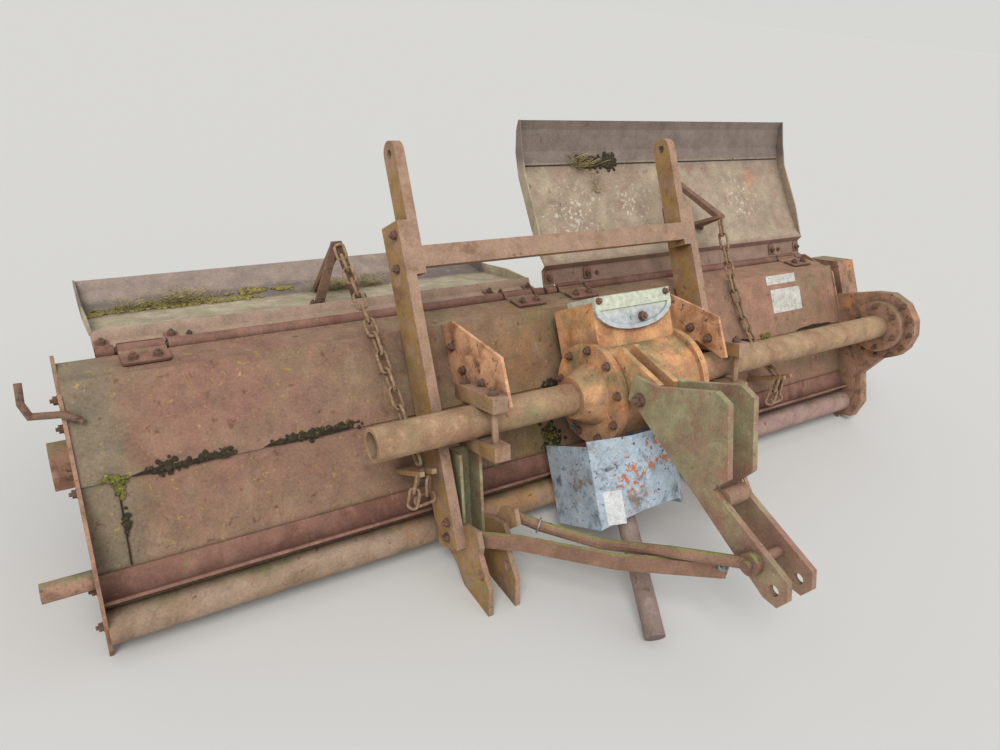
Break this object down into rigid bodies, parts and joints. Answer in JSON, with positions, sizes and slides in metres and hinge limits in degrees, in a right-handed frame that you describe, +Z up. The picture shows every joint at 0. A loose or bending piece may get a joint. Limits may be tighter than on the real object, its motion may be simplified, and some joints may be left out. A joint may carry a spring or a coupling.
{
  "type": "rotary cultivator",
  "caption": "Old tractor-mounted rotary cultivator tipped forward on its rotor and link clevises, with a hood, two hinged rear flaps and a power shaft.",
  "frame": {"origin": "on the ground under the middle of the parked machine's bounding box", "axes": "+X along the hood from the open end of the cross tube's side to the chain case, +Y away from the hitch, towards the raised flap, +Z up"},
  "size_m": [2.793, 1.614, 1.001],
  "materials": {
    "rusty_steel": "rusted",
    "orange_casting": "faded, rusted",
    "mast_paint": "faded, rusted",
    "tube_paint": "faded",
    "flap_paint": "faded, rusted",
    "hood_paint": "faded, rusted",
    "bare_alloy": "dull",
    "tine_steel": "rusted",
    "guard_paint": "chipped"
  },
  "bodies": {
    "machine": {"brace_flat": "rusty_steel", "brace_rod": "rusty_steel", "chain_case": "orange_casting", "chain_case_box": "orange_casting", "chain_claw_left": "rusty_steel", "chain_claw_right": "rusty_steel", "chain_left": "rusty_steel", "chain_right": "rusty_steel", "clamp_left": "mast_paint", "clamp_right": "mast_paint", "clevis_inner_left": "mast_paint", "clevis_inner_right": "mast_paint", "clevis_outer_left": "mast_paint", "clevis_outer_right": "mast_paint", "drive_tube_left": "tube_paint", "drive_tube_right": "tube_paint", "front_angle_strip": "hood_paint", "front_tube": "tube_paint", "gearbox_cover": "bare_alloy", "gearbox_housing": "orange_casting", "hood_lower_panel": "hood_paint", "hood_rear_panel": "hood_paint", "hood_upper_panel": "hood_paint", "hood_web_left": "hood_paint", "hood_web_right": "hood_paint", "input_fork": "rusty_steel", "left_end_plate": "orange_casting", "lock_rod": "rusty_steel", "mast_crossbar": "mast_paint", "mast_lower_left": "mast_paint", "mast_lower_right": "mast_paint", "mast_upper_left": "mast_paint", "mast_upper_right": "mast_paint", "right_end_plate": "orange_casting", "shaft_guard": "guard_paint", "stand_left": "mast_paint", "stand_right": "mast_paint", "tongue_left": "mast_paint", "tongue_right": "mast_paint"},
    "left_flap": {"flap_bracket_left": "flap_paint", "left_flap": "flap_paint"},
    "right_flap": {"flap_bracket_right": "flap_paint", "right_flap": "flap_paint"},
    "rotor": {"rotor": "tine_steel"},
    "power_shaft": {"pto_shaft": "rusty_steel"}
  },
  "joints": [
    {"name": "rotor_spin", "type": "hinge", "parent": "machine", "child": "rotor", "pos_m": [-0.02, 0.32597, 0.23995], "axis": [1, 0, 0], "continuous": true},
    {"name": "left_flap_hinge", "type": "hinge", "parent": "machine", "child": "left_flap", "pos_m": [-0.6075, 0.28362, 0.5346], "axis": [1, 0, 0], "range_deg": [-12, 62], "deforming": ["chain_left"]},
    {"name": "right_flap_hinge", "type": "hinge", "parent": "machine", "child": "right_flap", "pos_m": [0.6285, 0.28362, 0.5346], "axis": [1, 0, 0], "range_deg": [-74, 4], "deforming": ["chain_right"]},
    {"name": "power_shaft_swing", "type": "hinge", "parent": "machine", "child": "power_shaft", "pos_m": [-0.0445, -0.17785, 0.24331], "axis": [-1, 0, 0], "range_deg": [-20, 0]}
  ]
}
